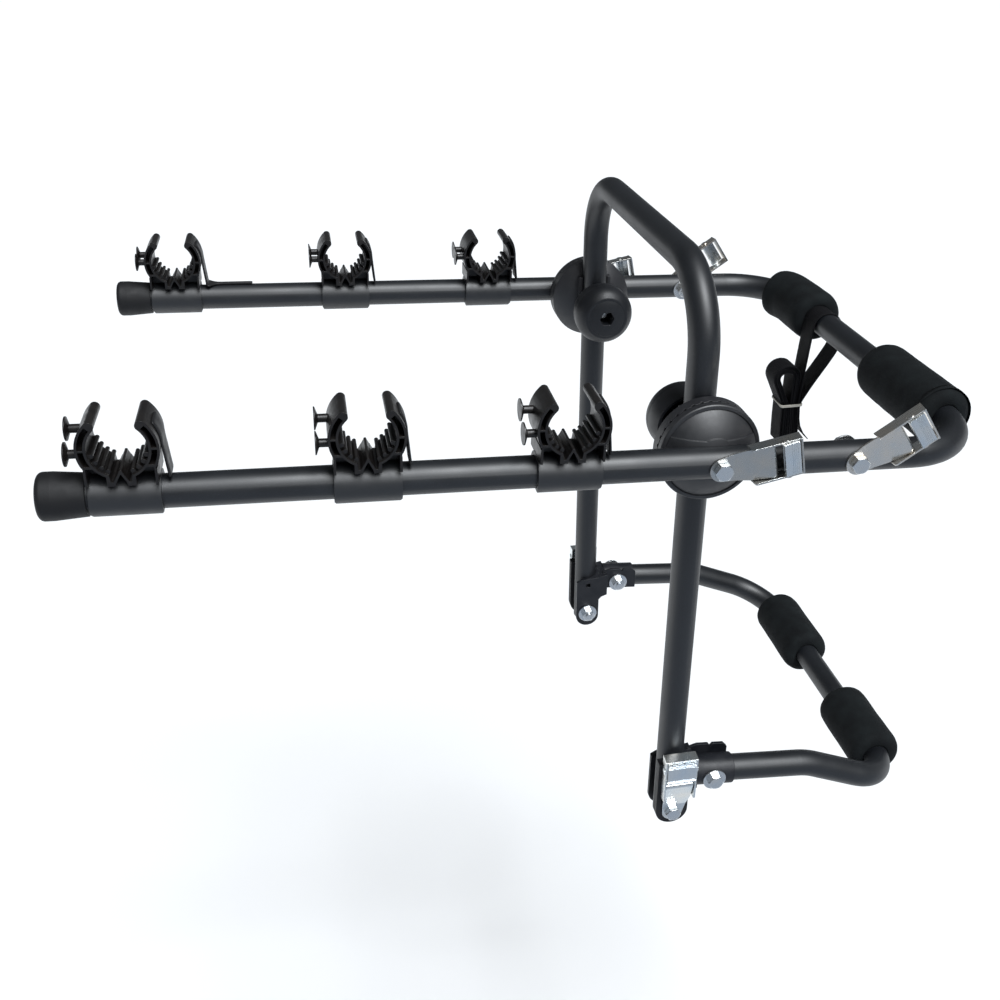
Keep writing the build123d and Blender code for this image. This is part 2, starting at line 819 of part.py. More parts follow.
# Sleeves that clamp the cradles on the arms, trimmed at the bottom ends.
def sleeve(centre):
    """Ring round the arm with its lower end corners cut away."""
    with Locations(Plane(origin=centre, z_dir=arm_dir)):
        Cylinder(sleeve_r, 2 * sleeve_half)
        Cylinder(tube_r, 3 * sleeve_half, mode=Mode.SUBTRACT)
    beyond = sleeve_half + 1
    corner_top = 5.2 - sleeve_r
    corner_low = -sleeve_r - 0.8
    corner = [
        (beyond, corner_top),
        (sleeve_half - 0.4, corner_top),
        (sleeve_half - 2.2, corner_low),
        (beyond, corner_low),
    ]
    with BuildSketch(Plane(origin=centre, x_dir=arm_dir, z_dir=(0, -1, 0)), mode=Mode.PRIVATE) as corners:
        for side in (-1, 1):
            with BuildLine():
                Polyline([(side * x, y) for x, y in corner], close=True)
            make_face()
    extrude(corners.sketch, amount=20, both=True, mode=Mode.SUBTRACT)


def strap(centre, tail):
    """Rubber strap hanging along the cradle's inner wall, with two holes for the pegs."""
    plane = Plane(origin=centre, x_dir=arm_dir, z_dir=(0, -1, 0))
    top = Vector(shell_r + 1.7, seat_height)
    end = Vector(shell_r + 4.7, tube_r + 1.9)
    down = (end - top).normalized()
    out = Vector(-down.Y, down.X)
    with BuildSketch(plane, mode=Mode.PRIVATE) as side_view:
        with BuildLine():
            Line(seat_point(35, shell_r - 0.5), seat_point(35, shell_r + 0.8))
            ThreePointArc(seat_point(35, shell_r + 0.8), seat_point(17, shell_r + 1.4), top)
            Polyline(
                top,
                end,
                end - out * strap_thick,
                top - out * strap_thick,
                seat_point(35, shell_r - 0.5),
            )
        make_face()
        with Locations((0, seat_height)):
            Circle(shell_r + 0.02, mode=Mode.SUBTRACT)
    extrude(side_view.sketch, amount=strap_width / 2, both=True)
    for along in (9, 20):
        hole = plane.from_local_coords(top + down * along)
        drill(hole, arm_dir, 3, 14)
    if tail:
        with Locations(Plane(origin=centre, x_dir=arm_dir, z_dir=arm_up)):
            with Locations((end.X - 2 * strap_thick, 0, tube_r + body_gap)):
                Box(tail, strap_width, strap_thick, align=(Align.MIN, Align.CENTER, Align.MIN))


for name, side, stations, peg_rise in cradle_rows:
    with BuildPart() as sleeves:
        for station in stations:
            sleeve(arm_point(station, 0) + side * arm_y)
    sleeves.part.label = f"sleeves_{name}"
    export_step(sleeves.part, f"parts/sleeves_{name}.step")
    with BuildPart() as straps:
        for station in stations:
            has_tail = side == far and station == far_stations[0]
            strap(arm_point(station, 0) + side * arm_y, tail_length if has_tail else 0)
    straps.part.label = f"straps_{name}"
    export_step(straps.part, f"parts/straps_{name}.step")


# Cam buckles: a sheet body that turns on its bolt, and a sprung lever on its pin.
link_full = wall_start - 1
link_half = buckle_half - sheet - 0.9
lever_half = buckle_half - sheet - 0.4
plate_low = 10.2
plate_high = 11.9
lip_stand = 1.0


def side_plane(base, centre):
    """Plane of a buckle's side view: along the buckle, and outward from its base."""
    origin = base.from_local_coords((0, centre, 0))
    return Plane(origin=origin, x_dir=base.x_dir, z_dir=base.x_dir.cross(base.z_dir))


def flat_shape(plane, points):
    """Closed straight outline on a plane."""
    with BuildSketch(plane, mode=Mode.PRIVATE) as shape:
        with BuildLine():
            Polyline(points, close=True)
        make_face()
    return shape.sketch


def buckle_link(base, side, centre):
    """Tongue that rises to a roll round the body's rear bar."""
    toward = Vector(roll_x - ramp_x, roll_height - sheet)
    rise = atan2(toward.Y, toward.X) + asin(roll_r / toward.length)
    over = Vector(-sin(rise), cos(rise))
    crest = Vector(roll_x, roll_height) + over * roll_r
    with BuildSketch(side, mode=Mode.PRIVATE) as profile:
        with Locations((ramp_x, 0)):
            Rectangle(ramp_x + 2 * tongue_r, sheet, align=(Align.MAX, Align.MIN))
        with BuildLine():
            Polyline((ramp_x, 0), (ramp_x, sheet), crest, crest - over * sheet, close=True)
        make_face()
        with Locations((roll_x, roll_height)):
            Circle(roll_r)
    with BuildSketch(base, mode=Mode.PRIVATE) as plan:
        Circle(tongue_r)
        with Locations((link_full, centre)):
            Rectangle(1, 2 * link_half)
        make_hull()
        with Locations((link_full, centre)):
            Rectangle(roll_x + roll_r - link_full, 2 * link_half, align=(Align.MIN, Align.CENTER))
        Circle(hole_r, mode=Mode.SUBTRACT)
    whole = extrude(profile.sketch, amount=link_half, both=True, mode=Mode.PRIVATE)
    add(whole & extrude(plan.sketch, amount=wall_height, mode=Mode.PRIVATE))


def buckle_body(base, centre, reach, pin):
    """Two side walls and an end wall, with the link, its bar and the lever's pin."""
    side = side_plane(base, centre)
    wall = flat_shape(
        side,
        [
            (wall_start, 0),
            (wall_start + 1, wall_height - 1),
            (wall_start + 2.2, wall_height),
            (reach - end_lean, wall_height),
            (reach, 0),
        ],
    )
    extrude(wall, amount=buckle_half, both=True)
    extrude(wall, amount=buckle_half - sheet, both=True, mode=Mode.SUBTRACT)
    end_top = wall_height + 0.5
    end_wall = flat_shape(
        side,
        [
            (reach, 0),
            (reach - end_lean, end_top),
            (reach - end_lean - sheet, end_top),
            (reach - sheet, 0),
        ],
    )
    extrude(end_wall, amount=buckle_half, both=True)
    buckle_link(base, side, centre)
    with Locations(Plane(origin=side.from_local_coords((roll_x, roll_height, 0)), z_dir=side.z_dir)):
        Cylinder(roll_bar_r, 2 * buckle_half)
    with Locations(Plane(origin=side.from_local_coords((pin, pin_height, 0)), z_dir=side.z_dir)):
        Cylinder(pin_r, 2 * buckle_half)
        with Locations((0, 0, buckle_half + 0.4), (0, 0, -buckle_half - 0.4)):
            Cylinder(3, 0.8)


def cam_lever(base, centre, pin, plate_from, plate_to, groove):
    """Toothed barrel on the pin, with a thumb plate above it that is grooved from groove on."""
    side = side_plane(base, centre)
    with BuildSketch(side, mode=Mode.PRIVATE) as shape:
        with Locations((pin, pin_height)):
            Circle(cam_r)
        with Locations((plate_from, plate_low)):
            Rectangle(plate_to - plate_from, plate_high - plate_low, align=(Align.MIN, Align.MIN))
            Rectangle(1.6, plate_high - plate_low + lip_stand, align=(Align.MIN, Align.MIN))
        with BuildLine():
            Polyline(
                (pin - 3, pin_height + 1),
                (pin + 3, pin_height + 1),
                (pin + 4.5, plate_low + 0.5),
                (pin - 1.4, plate_low + 0.5),
                close=True,
            )
        make_face()
        with Locations((pin, pin_height)):
            with PolarLocations(cam_r, 7, start_angle=200, angular_range=150):
                Rectangle(1.2, 0.8, mode=Mode.SUBTRACT)
            Circle(pin_r + run_fit, mode=Mode.SUBTRACT)
        while groove < plate_to - 1:
            with Locations((groove, plate_high)):
                Rectangle(0.6, 0.8, mode=Mode.SUBTRACT)
            groove += 1.5
    extrude(shape.sketch, amount=lever_half, both=True)


def buckle_base(bolt, face, degrees):
    """Base plane of a near buckle, turned up from the X direction by degrees."""
    along = Vector(cos(radians(degrees)), 0, sin(radians(degrees)))
    return Plane(origin=bolt + near * face, x_dir=along, z_dir=(0, -1, 0))


arm_sizes = (0, arm_buckle_reach, arm_buckle_pin)
foot_sizes = (-foot_buckle_side, foot_buckle_reach, foot_buckle_pin)
arm_plate = (46, arm_buckle_reach - 3.7, 52)
foot_plate = (46.2, foot_buckle_reach - 3.6, foot_buckle_reach - 8.6)
buckles = {
    "hub": (Vector(0, 0, 0), arm_buckle_face, hub_buckle_angle - arm_tilt, arm_sizes, arm_plate),
    "bar": (bar_bolt, arm_buckle_face, bar_buckle_angle - arm_tilt, arm_sizes, arm_plate),
    "foot": (foot_bolt, foot_buckle_face, foot_buckle_angle, foot_sizes, foot_plate),
}
for name, (bolt, face, degrees, (centre, reach, pin), plate) in buckles.items():
    base = buckle_base(bolt, face, degrees)
    with BuildPart() as body_near:
        buckle_body(base, centre, reach, pin)
    with BuildPart() as lever_near:
        cam_lever(base, centre, pin, *plate)
    for kind, source in (("buckle", body_near), ("lever", lever_near)):
        source.part.label = f"{name}_{kind}_near"
        export_step(source.part, f"parts/{name}_{kind}_near.step")
        with BuildPart() as copy_far:
            mirror(source.part, about=Plane.XZ)
        copy_far.part.label = f"{name}_{kind}_far"
        export_step(copy_far.part, f"parts/{name}_{kind}_far.step")

# Webbing: one band looped over the upper crossbar, its length folded in a bundle.
wrap_r = tube_r + 0.1 + web_thick / 2
lane_pitch = 2.05
low_pitch = 2.35
band_x = 195.8
band_z = -96.0
low_x = 198.0
low_z = -128.0
loop_pitch = 2.6
loops = 4
fold_depths = (-138.0, -142.0, -136.0, -140.0, -134.0)


def lane(number, z):
    """Point on a lane of the bundle, where lanes fan out below the rubber band."""
    share = min(max((band_z - z) / (band_z - low_z), 0), 2)
    centre = band_x + (low_x - band_x) * share
    pitch = lane_pitch + (low_pitch - lane_pitch) * share
    return (centre + (number - 5.5) * pitch, z)


bar_x = upper_bar.X
bar_z = upper_bar.Z
turns = [
    (lane(10, low_z), 40),
    (lane(10, band_z), 16),
    ((bar_x + wrap_r, bar_z - 26), 18),
    ((bar_x + wrap_r, bar_z + wrap_r), wrap_r - 0.01),
    ((bar_x - wrap_r, bar_z + wrap_r), wrap_r - 0.01),
    (lane(9, band_z), 60),
]
down, up = 9, 8
for turn in range(loops):
    depth = fold_depths[turn]
    fold_r = abs(lane(down, depth)[0] - lane(up, depth)[0]) / 2 - 0.02
    turns += [(lane(down, depth), fold_r), (lane(up, depth), fold_r), (lane(up, band_z), 20)]
    top = -51 - loop_pitch * turn
    left = (165.5 + 3.6 * turn, top)
    right = (203.0 - 2.2 * turn, top)
    corners = [right, left] if up > 5 else [left, right]
    loop_r = 14.0 - 2.6 * turn
    across = 9 - up
    turns += [(corners[0], loop_r), (corners[1], loop_r), (lane(across, band_z), 20)]
    down = across
    up = down + 1 if down < 5 else down - 1
tail_end = (219.5, -138)
web_points = [tail_end, *[point for point, radius in turns], lane(down, fold_depths[-1])]
with BuildPart() as webbing:
    with BuildLine() as web_path:
        bent_line([(x, web_y, z) for x, z in web_points], [radius for point, radius in turns])
    with BuildSketch(Plane(origin=web_path.line @ 0, x_dir=(0, 1, 0), z_dir=web_path.line % 0)):
        Rectangle(web_width, web_thick)
    sweep()
webbing.part.label = "webbing"
export_step(webbing.part, "parts/webbing.step")

web_line = web_path.wire()
steps = 1500
samples = [tuple(web_line @ (step / steps)) for step in range(steps + 1)]
apart = int(6 * steps / web_line.length)
least = min(dist(here, there) for at, here in enumerate(samples) for there in samples[at + apart:])
print(f"webbing: least gap to itself {least - web_thick:.2f} mm over {web_line.length:.0f} mm")

# Rubber band round the bundle, drawn as two windings that touch.
band_r = 0.8
band_slack = 2 * band_r + 0.4
waist = [x for x, y, z in samples if abs(z - band_z) < 2 * band_r]
bundle_width = max(waist) - min(waist) + web_thick
band_plane = Plane(origin=((max(waist) + min(waist)) / 2, web_y, band_z))
with BuildPart() as rubber_band:
    with BuildSketch(band_plane, mode=Mode.PRIVATE) as band_loop:
        RectangleRounded(bundle_width + band_slack, web_width + band_slack, 1.6)
    band_path = band_loop.sketch.face().outer_wire()
    with BuildSketch(Plane(origin=band_path @ 0, x_dir=(0, 0, 1), z_dir=band_path % 0)):
        with Locations((-0.7, 0), (0.7, 0)):
            Circle(band_r)
    sweep(path=band_path)
rubber_band.part.label = "rubber_band"
export_step(rubber_band.part, "parts/rubber_band.step")
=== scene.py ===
from math import cos, pi, radians, sin, tan

import bmesh
import bpy
from mathutils import Matrix, Vector, noise


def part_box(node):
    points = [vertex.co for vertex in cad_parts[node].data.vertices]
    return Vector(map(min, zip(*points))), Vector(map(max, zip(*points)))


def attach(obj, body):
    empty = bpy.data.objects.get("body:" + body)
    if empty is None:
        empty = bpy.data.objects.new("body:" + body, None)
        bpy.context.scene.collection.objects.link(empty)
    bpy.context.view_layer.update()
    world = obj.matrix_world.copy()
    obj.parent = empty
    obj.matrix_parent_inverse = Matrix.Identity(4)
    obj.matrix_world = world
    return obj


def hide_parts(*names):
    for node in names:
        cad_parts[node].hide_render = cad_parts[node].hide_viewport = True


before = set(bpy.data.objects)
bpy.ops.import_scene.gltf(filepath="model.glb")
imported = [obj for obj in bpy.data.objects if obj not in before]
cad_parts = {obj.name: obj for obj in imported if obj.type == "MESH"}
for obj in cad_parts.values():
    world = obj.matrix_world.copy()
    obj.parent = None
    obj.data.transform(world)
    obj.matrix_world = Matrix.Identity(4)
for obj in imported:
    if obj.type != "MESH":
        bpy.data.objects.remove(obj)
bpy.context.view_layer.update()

# Camera of the product picture. It stands a little above the rack's left arm end, looking
# down across the hubs to the far side, with a lens of about 40 mm on a 36 mm frame.
camera_place = (-0.2945, -0.943, 0.3936)
camera_turn, camera_dip, camera_roll = 0.1683, 0.5074, 0.0116
camera_data = bpy.data.cameras.new("camera")
camera_data.sensor_width = 36.0
camera_data.lens = 39.77
camera = bpy.data.objects.new("camera", camera_data)
camera.matrix_world = (
    Matrix.Translation(camera_place)
    @ Matrix.Rotation(-camera_turn, 4, "Z")
    @ Matrix.Rotation(radians(90) - camera_dip, 4, "X")
    @ Matrix.Rotation(-camera_roll, 4, "Z")
)
bpy.context.scene.collection.objects.link(camera)
bpy.context.scene.camera = camera
bpy.context.scene.view_settings.view_transform = "Standard"


# Studio light. A soft lamp hangs high on the car's side of the camera, with a weaker, wider
# one like a window under it. The room is dim, so that the satin tubes get one broad band of
# light along them and are dark beside it.
daylight = (0.94, 0.97, 1.0)


def hang_lamp(name, elevation, bearing, width, strength):
    """Distant lamp seen as a disc width degrees across, at a bearing from -Y towards -X."""
    lamp = bpy.data.lights.new(name, "SUN")
    lamp.energy = strength
    lamp.color = daylight
    lamp.angle = radians(width)
    hung = bpy.data.objects.new(name, lamp)
    up = radians(elevation)
    turn = radians(bearing)
    towards = Vector((-sin(turn) * cos(up), -cos(turn) * cos(up), sin(up)))
    hung.rotation_mode = "QUATERNION"
    hung.rotation_quaternion = towards.to_track_quat("Z", "Y")
    bpy.context.scene.collection.objects.link(hung)


hang_lamp("high_lamp", 65, -30, 24, 2.5)
hang_lamp("window_lamp", 43, -22, 36, 1.5)
room = bpy.data.worlds.new("room")
room.use_nodes = True
room.node_tree.nodes["Background"].inputs["Color"].default_value = (0.88, 0.94, 1.0, 1)
room.node_tree.nodes["Background"].inputs["Strength"].default_value = 0.12
bpy.context.scene.world = room

# Ground, pale: white behind the rack, and a blue grey in front of it that is painted shade,
# standing in for the dim room so that the tubes' lower halves reflect dark. The rack hangs on a
# car's tail, so the ground lies well below it and takes only a faint shadow.
ground_reach = 40
ground_drop = 1.2
fade_front, fade_back = -0.8, 0.05
ground_mesh = bpy.data.meshes.new("ground")
shaping = bmesh.new()
bmesh.ops.create_grid(shaping, x_segments=1, y_segments=1, size=ground_reach)
bmesh.ops.translate(shaping, verts=shaping.verts, vec=(0, 0, -ground_drop))
shaping.to_mesh(ground_mesh)
shaping.free()
ground = bpy.data.objects.new("ground", ground_mesh)
bpy.context.scene.collection.objects.link(ground)


def new_finish(name, colour, roughness, metallic=0.0, gloss=0.5):
    """Material with one shader, given its plain colour and shine."""
    finish = bpy.data.materials.new(name)
    finish.use_nodes = True
    shader = finish.node_tree.nodes["Principled BSDF"]
    shader.inputs["Base Color"].default_value = (*colour, 1)
    shader.inputs["Roughness"].default_value = roughness
    shader.inputs["Metallic"].default_value = metallic
    shader.inputs["Specular IOR Level"].default_value = gloss
    return finish


def add_node(finish, kind, inputs, **settings):
    """Node whose inputs are set to values, or joined to other nodes' outputs."""
    node = finish.node_tree.nodes.new(kind)
    for setting, value in settings.items():
        setattr(node, setting, value)
    for socket, value in inputs.items():
        if isinstance(value, bpy.types.NodeSocket):
            finish.node_tree.links.new(value, node.inputs[socket])
        else:
            node.inputs[socket].default_value = value
    return node


def to_shader(finish, socket, output):
    """Join an output to the material's shader."""
    shader = finish.node_tree.nodes["Principled BSDF"]
    finish.node_tree.links.new(output, shader.inputs[socket])


def wear_finish(*pieces, finish):
    """Give a finish to pieces, which are CAD nodes' names or new objects."""
    for piece in pieces:
        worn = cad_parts[piece] if isinstance(piece, str) else piece
        worn.data.materials.clear()
        worn.data.materials.append(finish)


def spread(finish, value, low, high, start=0.3, end=0.7):
    """Numbers from low to high as the value goes from start to end."""
    ramp = add_node(
        finish,
        "ShaderNodeMapRange",
        {"Value": value, "From Min": start, "From Max": end, "To Min": low, "To Max": high},
    )
    return ramp.outputs["Result"]


def mottle(finish, share, one, other):
    """Colour that goes from one to the other by a share from 0 to 1."""
    blend = add_node(finish, "ShaderNodeMix", {0: share}, data_type="RGBA")
    for socket, colour in ((6, one), (7, other)):
        if isinstance(colour, bpy.types.NodeSocket):
            finish.node_tree.links.new(colour, blend.inputs[socket])
        else:
            blend.inputs[socket].default_value = (*colour, 1)
    return blend.outputs[2]


ground_paint = new_finish("ground_paint", (0.95, 0.95, 0.95), 0.9, gloss=0.1)
ground_place = add_node(ground_paint, "ShaderNodeTexCoord", {})
ground_axes = add_node(ground_paint, "ShaderNodeSeparateXYZ", {"Vector": ground_place.outputs["Object"]})
# Painted shade: the ground's colour fades from blue grey in front of the rack to white behind it.
behind = spread(ground_paint, ground_axes.outputs["Y"], 0, 1, fade_front, fade_back)
ground_painted_shade_colour = mottle(ground_paint, behind, (0.31, 0.34, 0.39), (0.97, 0.97, 0.97))
to_shader(ground_paint, "Base Color", ground_painted_shade_colour)
wear_finish(ground, finish=ground_paint)


# The frame's three bent tubes: the arch with its legs, the carrying arms with their crossbar,
# and the lower frame. All are one-inch steel tube, bent cold and powder coated satin black.
def grain(finish, size, detail=2.0, stretch=(1, 1, 1), turn=(0, 0, 0)):
    """Noise with grains of a size in metres, drawn out by stretch after a turn."""
    coords = add_node(finish, "ShaderNodeTexCoord", {})
    placed = add_node(
        finish,
        "ShaderNodeMapping",
        {"Vector": coords.outputs["Object"], "Rotation": turn, "Scale": stretch},
        vector_type="TEXTURE",
    )
    pattern = add_node(
        finish,
        "ShaderNodeTexNoise",
        {"Vector": placed.outputs["Vector"], "Scale": 1 / size, "Detail": detail},
    )
    return pattern.outputs["Fac"]


def relief(finish, height, depth, edge=0.0, strength=1.0):
    """Bumps of a depth in metres, over edges that are rounded by edge in metres."""
    bump = add_node(
        finish, "ShaderNodeBump", {"Height": height, "Distance": depth, "Strength": strength}
    )
    if edge:
        soft = add_node(finish, "ShaderNodeBevel", {"Radius": edge}, samples=6)
        finish.node_tree.links.new(soft.outputs["Normal"], bump.inputs["Normal"])
    to_shader(finish, "Normal", bump.outputs["Normal"])


powder_coat = new_finish("powder_coat", (0.005, 0.006, 0.009), 0.44, gloss=0.85)
peel = grain(powder_coat, 0.0011, 3)
clouds = grain(powder_coat, 0.045, 3)
specks = spread(powder_coat, grain(powder_coat, 0.0006, 0), 0, 1, 0.66, 0.78)
coat_colour = mottle(
    powder_coat, spread(powder_coat, clouds, 0, 1), (0.003, 0.004, 0.006), (0.005, 0.007, 0.010)
)
coat_colour = mottle(powder_coat, specks, coat_colour, (0.016, 0.018, 0.023))
to_shader(powder_coat, "Base Color", coat_colour)
to_shader(powder_coat, "Roughness", spread(powder_coat, clouds, 0.42, 0.50))
relief(powder_coat, peel, 0.00004, strength=0.6)
wear_finish("arch_tube", "arm_tube", "lower_tube", finish=powder_coat)

# The hub shells: two moulded domes on each side that lock the arms at their angle, and the
# saddle that beds the knob on the round leg. They are filled nylon with a fine satin grain.
hub_nylon = new_finish("hub_nylon", (0.008, 0.009, 0.011), 0.50, gloss=1.0)
hub_cloud = spread(hub_nylon, grain(hub_nylon, 0.02, 4), 0, 1)
hub_colour = mottle(hub_nylon, hub_cloud, (0.006, 0.007, 0.009), (0.010, 0.010, 0.013))
to_shader(hub_nylon, "Base Color", hub_colour)
to_shader(hub_nylon, "Roughness", spread(hub_nylon, grain(hub_nylon, 0.006, 3), 0.46, 0.54))
relief(hub_nylon, grain(hub_nylon, 0.0005, 2), 0.00003, edge=0.0006)
wear_finish(
    "hub_inner_near", "hub_inner_far", "hub_outer_near", "hub_outer_far", "saddle_near", "saddle_far",
    finish=hub_nylon,
)

# The clamping knobs: hollow round caps that a hand turns, each with its nut caught in a
# hexagon pocket. They are moulded in the same nylon with a duller, spark-eroded skin.
knob_nylon = new_finish("knob_nylon", (0.009, 0.010, 0.012), 0.48, gloss=0.6)
knob_skin = grain(knob_nylon, 0.0007, 2)
knob_share = spread(knob_nylon, knob_skin, 0, 1)
knob_colour = mottle(knob_nylon, knob_share, (0.005, 0.006, 0.008), (0.009, 0.010, 0.013))
to_shader(knob_nylon, "Base Color", knob_colour)
to_shader(knob_nylon, "Roughness", spread(knob_nylon, grain(knob_nylon, 0.01, 3), 0.42, 0.52))
relief(knob_nylon, knob_skin, 0.00005, edge=0.0008)
wear_finish("knob_near", "knob_far", finish=knob_nylon)

# Foot spacers behind the foot buckles, flat outside and hollowed to the leg, and the caps
# pushed over the arm ends. The spacers are hard black nylon, the caps soft black rubber.
spacer_nylon = new_finish("spacer_nylon", (0.010, 0.010, 0.012), 0.55, gloss=0.4)
relief(spacer_nylon, grain(spacer_nylon, 0.0006, 2), 0.00004, edge=0.0005)
to_shader(spacer_nylon, "Roughness", spread(spacer_nylon, grain(spacer_nylon, 0.008, 3), 0.48, 0.62))
wear_finish("foot_spacer_near", "foot_spacer_far", finish=spacer_nylon)
cap_rubber = new_finish("cap_rubber", (0.009, 0.009, 0.010), 0.6, gloss=0.4)
to_shader(cap_rubber, "Roughness", spread(cap_rubber, grain(cap_rubber, 0.012, 4), 0.5, 0.68))
relief(cap_rubber, grain(cap_rubber, 0.0009, 3), 0.00005, edge=0.0006)
wear_finish("arm_cap_near", "arm_cap_far", finish=cap_rubber)

# The folding foot brackets: pressed steel, welded up from a plate, a root and a socket, and
# painted black with the tubes, so that the paint is thick in the corners.
bracket_paint = new_finish("bracket_paint", (0.009, 0.010, 0.013), 0.45, gloss=0.5)
bracket_cloud = grain(bracket_paint, 0.012, 4)
paint_share = spread(bracket_paint, bracket_cloud, 0, 1)
paint_colour = mottle(bracket_paint, paint_share, (0.006, 0.007, 0.010), (0.012, 0.013, 0.017))
to_shader(bracket_paint, "Base Color", paint_colour)
to_shader(bracket_paint, "Roughness", spread(bracket_paint, bracket_cloud, 0.38, 0.55))
relief(bracket_paint, grain(bracket_paint, 0.002, 3), 0.00008, edge=0.0009)
wear_finish("bracket_near", "bracket_far", finish=bracket_paint)


# Bolts, nuts and washers: M8 steel, bright zinc plated, faintly blue and yellow in patches,
# with fine marks of the tools that turned them. The two nuts inside the knobs are given a dark
# grey as painted shade for their deep hexagon pockets.
def zinc_plate(name, brightness, roughness, turn, stretch, ribbed=False):
    """Zinc plated steel with its grain, or fine ribs, drawn out along one direction."""
    zinc = new_finish(name, brightness, roughness, metallic=1.0)
    cool = [channel * tint for channel, tint in zip(brightness, (0.90, 0.96, 1.01))]
    warm = [channel * tint for channel, tint in zip(brightness, (1.07, 1.03, 0.97))]
    patches = spread(zinc, grain(zinc, 0.016, 4), 0, 1)
    to_shader(zinc, "Base Color", mottle(zinc, patches, cool, warm))
    brushed = grain(zinc, 0.0005, 3, stretch, turn)
    to_shader(zinc, "Roughness", spread(zinc, brushed, roughness - 0.07, roughness + 0.1))
    if ribbed:
        place = add_node(zinc, "ShaderNodeTexCoord", {})
        turned = add_node(
            zinc,
            "ShaderNodeMapping",
            {"Vector": place.outputs["Object"], "Rotation": turn},
            vector_type="TEXTURE",
        )
        ribs = add_node(
            zinc,
            "ShaderNodeTexWave",
            {"Vector": turned.outputs["Vector"], "Scale": 210.0, "Distortion": 0.6},
            bands_direction="Y",
        )
        relief(zinc, ribs.outputs["Fac"], 0.00016, edge=0.0005)
    else:
        relief(zinc, brushed, 0.000012, edge=0.0006)
    return zinc


fastener_zinc = zinc_plate("fastener_zinc", (0.78, 0.79, 0.80), 0.25, (0, 0, 0), (1.5, 1, 1.5))
wear_finish(
    "hub_bolts", "bar_bolts", "bar_washers", "bar_nuts", "foot_bolts", "foot_washers", "foot_nuts",
    "socket_bolts", "socket_washers", "socket_nuts",
    finish=fastener_zinc,
)
# Painted shade: the nuts deep in the knobs' pockets are coloured dark grey.
knob_nut_painted_shade = new_finish("knob_nut_painted_shade", (0.02, 0.02, 0.022), 0.5, metallic=0.6)
to_shader(knob_nut_painted_shade, "Roughness", spread(knob_nut_painted_shade, grain(knob_nut_painted_shade, 0.002, 3), 0.4, 0.6))
wear_finish("knob_nut_near", "knob_nut_far", finish=knob_nut_painted_shade)

# Cam buckles: a body folded from 1.5 mm sheet and a lever that turns on the pin between its
# walls. Both are zinc plated. Rolling marks run along the sheet, and the lever is ribbed.
# Painted light and shade: the same sheet plating is given darker on the hub buckles, warmer on the bar
# buckles and palest on the foot buckles, as each is lit.
buckle_angles_and_painted_light = {
    "hub": (10.7, (0.58, 0.57, 0.55)),
    "bar": (33.5, (0.86, 0.81, 0.75)),
    "foot": (90.0, (0.90, 0.92, 0.92)),
}
for place, (angle, brightness) in buckle_angles_and_painted_light.items():
    along = (0, radians(-angle), 0)
    sheet_zinc_painted_light = zinc_plate(f"{place}_sheet_zinc_painted_light", brightness, 0.26, along, (14, 1, 1))
    lever_zinc = zinc_plate(f"{place}_lever_zinc", (0.85, 0.88, 0.90), 0.26, along, (1, 3, 1), True)
    for side in ("near", "far"):
        wear_finish(f"{place}_buckle_{side}", finish=sheet_zinc_painted_light)
        wear_finish(f"{place}_lever_{side}", finish=lever_zinc)

# Cradles for the bicycles' top tubes: open hoops with grip ribs inside and two pegs outside,
# moulded in a shiny hard rubber, each clamped on the arm by a black sleeve.
cradle_rubber = new_finish("cradle_rubber", (0.009, 0.008, 0.008), 0.38, gloss=0.5)
flow = grain(cradle_rubber, 0.007, 4)
to_shader(
    cradle_rubber,
    "Base Color",
    mottle(cradle_rubber, spread(cradle_rubber, flow, 0, 1), (0.006, 0.005, 0.005), (0.013, 0.011, 0.010)),
)
to_shader(cradle_rubber, "Roughness", spread(cradle_rubber, flow, 0.30, 0.44))
relief(cradle_rubber, grain(cradle_rubber, 0.0012, 3), 0.00003, edge=0.0004)
for side in ("near", "far"):
    wear_finish(*[f"cradle_{side}_{number}" for number in (1, 2, 3)], finish=cradle_rubber)
sleeve_nylon = new_finish("sleeve_nylon", (0.006, 0.007, 0.009), 0.48, gloss=1.0)
to_shader(sleeve_nylon, "Roughness", spread(sleeve_nylon, grain(sleeve_nylon, 0.01, 3), 0.44, 0.54))
relief(sleeve_nylon, grain(sleeve_nylon, 0.0009, 3), 0.00004, edge=0.0006)
wear_finish("sleeves_near", "sleeves_far", finish=sleeve_nylon)


# Foam pads: four sleeves of black closed-cell foam pushed over the crossbars and a little
# way into their bends, so that steel never touches the car. Their ends are cut and rounded.
def draw_out(shaping, row, move):
    """Extrude a row or ring of edges, place the new one by a matrix, and return it."""
    made = bmesh.ops.extrude_edge_only(shaping, edges=row)["geom"]
    fresh = {part for part in made if isinstance(part, bmesh.types.BMVert)}
    bmesh.ops.transform(shaping, matrix=move, verts=list(fresh))
    return [part for part in made if isinstance(part, bmesh.types.BMEdge) and fresh.issuperset(part.verts)]


def straight_moves(run, pace):
    """Equal steps of about pace that add up to a run."""
    if run.length < 1e-6:
        return []
    count = max(1, round(run.length / pace))
    return [Matrix.Translation(run / count)] * count


def arc_moves(centre, axis, angle, count):
    """Equal turns about a centre that add up to an angle in radians."""
    there = Matrix.Translation(centre)
    return [there @ Matrix.Rotation(angle / count, 4, axis) @ there.inverted()] * count


def lip_moves(start, heading, profile):
    """Steps that take a ring through pairs of radius and distance from start."""
    moves = []
    for (radius, along), (wider, further) in zip(profile, profile[1:]):
        middle = Matrix.Translation(start + heading * along)
        grow = Matrix.Scale(wider / radius, 4)
        moves.append(Matrix.Translation(heading * (further - along)) @ middle @ grow @ middle.inverted())
    return moves


